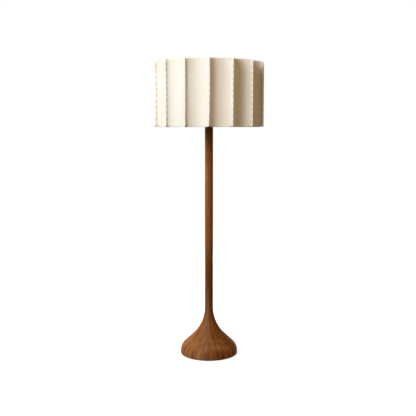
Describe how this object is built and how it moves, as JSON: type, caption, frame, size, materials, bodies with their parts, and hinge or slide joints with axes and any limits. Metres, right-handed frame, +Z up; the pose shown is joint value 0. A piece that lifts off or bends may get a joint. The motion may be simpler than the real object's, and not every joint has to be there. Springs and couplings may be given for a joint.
{
  "type": "floor lamp",
  "caption": "Floor lamp with a turned wooden pole on a bell-shaped base and a drum shade of concave fabric panels sewn into standing ribs",
  "frame": {"origin": "on the floor under the middle of the base, on the pole's axis", "axes": "+Z up along the pole; -Y is the front, where one rib of the shade and the switch knob point; +Y is the back, where the cord inlet is; the harp stands in the XZ plane"},
  "size_m": [0.5592, 0.5561, 1.5],
  "materials": {
    "walnut": "satin oiled walnut, grain along the pole",
    "felt": "dense black felt",
    "black_steel": "matt black paint",
    "zinc_steel": "zinc plated",
    "cast_iron": "rough casting, black",
    "black_plastic": "moulded, matt",
    "brass": "satin lacquered",
    "insulating_card": "waxed fibre",
    "plain_aluminium": "plain",
    "bulb_white": "smooth white",
    "bulb_black": "glazed black insulator",
    "bulb_opal": "opal",
    "white_wire": "off-white enamel",
    "shade_fabric": "cream, stiffened, fine plain weave",
    "binding_tape": "cream tape, one shade darker than the panels",
    "brown_thread": "waxed brown thread"
  },
  "bodies": {
    "stand": {"felt_pad": "felt", "base_cover": "black_steel", "base_cover_screws": "zinc_steel", "base_bell": "walnut", "base_weight": "cast_iron", "clamp_washer": "zinc_steel", "clamp_nut": "zinc_steel", "cord_inlet": "black_plastic", "inlet_nut": "black_plastic", "pole": "walnut", "threaded_tube": "zinc_steel", "pole_cap": "brass", "harp_saddle": "brass", "saddle_nut": "brass", "lampholder_cap": "brass", "lampholder_shell": "brass", "lampholder_liner": "insulating_card", "switch_block": "black_plastic", "terminal_screws": "brass", "screw_shell": "plain_aluminium", "centre_contact": "brass"},
    "switch": {"switch_stem": "brass", "switch_knob": "brass"},
    "bulb": {"bulb_screw_cap": "plain_aluminium", "bulb_contact": "bulb_black", "bulb_housing": "bulb_white", "bulb_globe": "bulb_opal"},
    "harp": {"harp": "brass"},
    "left_sleeve": {"harp_sleeve_left": "brass"},
    "right_sleeve": {"harp_sleeve_right": "brass"},
    "stud": {"shade_stud": "brass"},
    "shade": {"spider": "white_wire", "top_ring": "white_wire", "bottom_ring": "white_wire", "shade_struts": "white_wire", "panel_01": "shade_fabric", "panel_02": "shade_fabric", "panel_03": "shade_fabric", "panel_04": "shade_fabric", "panel_05": "shade_fabric", "panel_06": "shade_fabric", "panel_07": "shade_fabric", "panel_08": "shade_fabric", "panel_09": "shade_fabric", "panel_10": "shade_fabric", "panel_11": "shade_fabric", "panel_12": "shade_fabric", "panel_13": "shade_fabric", "panel_14": "shade_fabric", "panel_15": "shade_fabric", "top_binding": "binding_tape", "bottom_binding": "binding_tape", "rib_stitches": "brown_thread"},
    "finial": {"finial": "brass"}
  },
  "joints": [
    {"name": "knob_turn", "type": "hinge", "parent": "stand", "child": "switch", "pos_m": [0, -0.0208, 1.25102], "axis": [0, -1, 0], "continuous": true},
    {"name": "bulb_out", "type": "slide", "parent": "stand", "child": "bulb", "axis": [0, 0, 1], "range_m": [0, 0.035]},
    {"name": "harp_lift", "type": "slide", "parent": "stand", "child": "harp", "axis": [0, 0, 1], "range_m": [0, 0.02]},
    {"name": "left_sleeve_up", "type": "slide", "parent": "harp", "child": "left_sleeve", "axis": [0, 0, 1], "range_m": [0, 0.012]},
    {"name": "right_sleeve_up", "type": "slide", "parent": "harp", "child": "right_sleeve", "axis": [0, 0, 1], "range_m": [0, 0.012]},
    {"name": "shade_turn", "type": "hinge", "parent": "harp", "child": "stud", "pos_m": [0, 0, 1.46902], "axis": [0, 0, 1], "continuous": true},
    {"name": "shade_lift", "type": "slide", "parent": "stud", "child": "shade", "axis": [0, 0, 1], "range_m": [0, 0.03]},
    {"name": "finial_off", "type": "slide", "parent": "shade", "child": "finial", "axis": [0, 0, 1], "range_m": [0, 0.018]}
  ]
}
